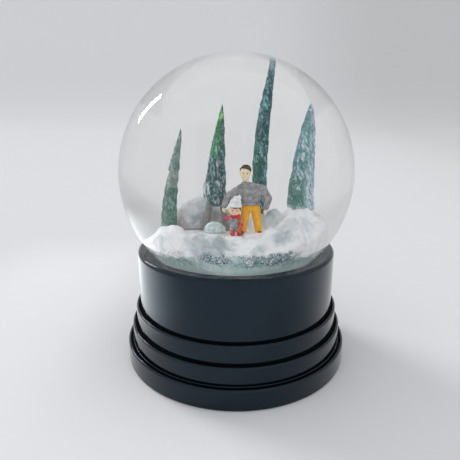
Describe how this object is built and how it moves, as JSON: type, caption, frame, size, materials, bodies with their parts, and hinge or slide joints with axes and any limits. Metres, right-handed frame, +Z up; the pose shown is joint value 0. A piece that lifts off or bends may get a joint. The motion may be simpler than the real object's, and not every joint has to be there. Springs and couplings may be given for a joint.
{
  "type": "snow globe",
  "caption": "Liquid-filled glass globe on a stepped glossy black base, with two small figures walking among leaning fir trees, a boulder and snow banks inside.",
  "frame": {"origin": "centre of the foot's underside, on the surface it stands on", "axes": "+Z up along the globe's and the base's common axis, -Y towards the viewer in front of the two figures, +X to the viewer's right"},
  "size_m": [0.1006, 0.1006, 0.133],
  "materials": {
    "black_lacquer": "gloss",
    "cover_board": "matte",
    "felt": "matte",
    "sealant": "satin",
    "clear_glass": "gloss",
    "stopper_rubber": "matte",
    "plug_rubber": "matte",
    "plinth_resin": "satin",
    "snow": "matte",
    "tree_left_paint": "satin",
    "tree_forked_paint": "satin",
    "tree_tall_paint": "satin",
    "tree_right_paint": "satin",
    "boulder_paint": "satin",
    "lump_paint": "satin",
    "adult_figure_paint": "satin",
    "child_figure_paint": "satin",
    "water": "gloss"
  },
  "bodies": {
    "base": {"base_shell": "black_lacquer", "globe_seat_ring": "sealant", "glass_globe": "clear_glass", "rubber_stopper": "stopper_rubber", "diorama_plinth": "plinth_resin", "snow_ground": "snow", "tree_left": "tree_left_paint", "tree_forked": "tree_forked_paint", "tree_tall": "tree_tall_paint", "tree_right": "tree_right_paint", "boulder": "boulder_paint", "snow_lump": "lump_paint", "adult_figure": "adult_figure_paint", "child_figure": "child_figure_paint", "water_fill": "water"},
    "cover": {"base_cover": "cover_board", "felt_pad": "felt"},
    "plug": {"fill_plug": "plug_rubber"}
  },
  "joints": [
    {"name": "cover_pull", "type": "slide", "parent": "base", "child": "cover", "axis": [0, 0, -1], "range_m": [0, 0.025]},
    {"name": "plug_pull", "type": "slide", "parent": "base", "child": "plug", "axis": [0, 0, -1], "range_m": [0, 0.015]}
  ]
}
